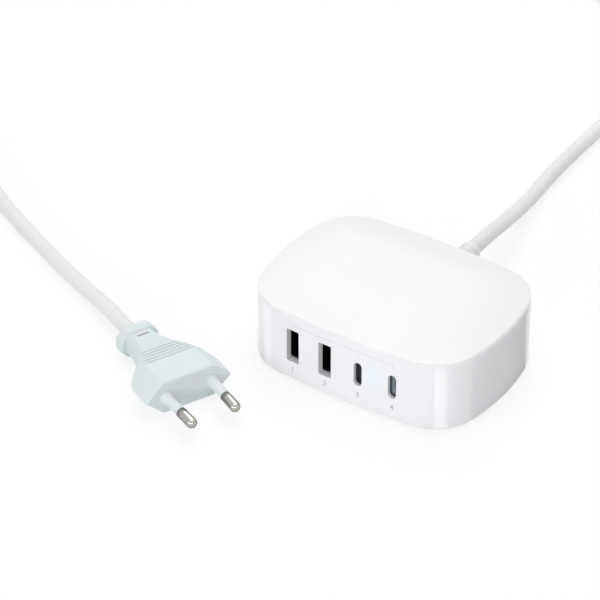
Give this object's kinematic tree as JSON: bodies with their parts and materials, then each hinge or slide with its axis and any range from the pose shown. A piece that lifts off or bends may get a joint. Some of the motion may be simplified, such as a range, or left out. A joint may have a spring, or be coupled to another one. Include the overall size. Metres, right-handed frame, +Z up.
{
  "type": "multi port usb charger",
  "caption": "Desktop USB charger in a rounded white case, with a row of upright USB-A and USB-C sockets in front and a fixed mains lead at the back that ends in a flat mains plug.",
  "frame": {"origin": "on the surface the feet stand on, under the middle of the body, without the mains lead and plug", "axes": "+Z up through the top cover, +X along the row of sockets, the sockets face -Y and the lead leaves the back at +Y"},
  "size_m": [0.3218, 0.3422, 0.034],
  "materials": {
    "cover_plastic": "satin, fine moulded texture",
    "housing_plastic": "polished, glossy",
    "foot_rubber": "soft, matte",
    "sheet": "smooth insulating sheet",
    "board": "green solder mask",
    "screw_steel": "zinc plated",
    "socket_black": "black nickel plated steel",
    "socket_plastic": "black moulded plastic",
    "contact_gold": "gold flashed",
    "socket_steel": "drawn stainless steel",
    "ferrite": "sintered, dull grey",
    "winding_tape": "yellow polyester tape",
    "copper": "enamelled copper wire",
    "bulk_can": "heat-shrunk sleeve",
    "output_can": "heat-shrunk sleeve",
    "film_yellow": "moulded box",
    "ceramic_blue": "dipped coating",
    "fuse_brown": "moulded can",
    "chip_black": "moulded epoxy",
    "opto_white": "moulded epoxy",
    "sink_aluminium": "bright rolled sheet",
    "led_lens": "clear pale lens",
    "wire_brown": "smooth insulation",
    "wire_blue": "smooth insulation",
    "cord_pvc": "smooth soft PVC",
    "tie_plastic": "woven hook-and-loop band",
    "plug_pvc": "moulded PVC, faint blue",
    "pin_nickel": "nickel plated brass"
  },
  "bodies": {
    "root": {"top_cover": "cover_plastic", "housing": "housing_plastic", "foot_1": "foot_rubber", "foot_2": "foot_rubber", "foot_3": "foot_rubber", "foot_4": "foot_rubber", "floor_sheet": "sheet", "circuit_board": "board", "board_screws": "screw_steel", "usb_a_shell_1": "socket_black", "usb_a_shell_2": "socket_black", "usb_a_tongue_1": "socket_plastic", "usb_a_tongue_2": "socket_plastic", "usb_a_contacts_1": "contact_gold", "usb_a_contacts_2": "contact_gold", "usb_c_shell_1": "socket_steel", "usb_c_shell_2": "socket_steel", "usb_c_tongue_1": "socket_plastic", "usb_c_tongue_2": "socket_plastic", "usb_c_carrier_1": "socket_plastic", "usb_c_carrier_2": "socket_plastic", "transformer_core": "ferrite", "transformer_winding": "winding_tape", "bulk_capacitor_1": "bulk_can", "bulk_capacitor_2": "bulk_can", "output_capacitor_1": "output_can", "output_capacitor_2": "output_can", "output_capacitor_3": "output_can", "choke_core": "ferrite", "choke_winding": "copper", "x_capacitor": "film_yellow", "y_capacitor": "ceramic_blue", "fuse": "fuse_brown", "bridge_rectifier": "chip_black", "heat_sink": "sink_aluminium", "switching_transistor": "chip_black", "optocoupler": "opto_white", "port_controller_1": "chip_black", "port_controller_2": "chip_black", "status_led": "led_lens", "live_wire": "wire_brown", "neutral_wire": "wire_blue", "strain_relief": "cord_pvc", "cord_lead": "cord_pvc", "cord_coil": "cord_pvc", "cord_tail": "cord_pvc", "cord_tie": "tie_plastic", "plug_body": "plug_pvc", "pin_sleeve_1": "plug_pvc", "pin_sleeve_2": "plug_pvc", "plug_pin_1": "pin_nickel", "plug_pin_2": "pin_nickel"}
  },
  "joints": []
}
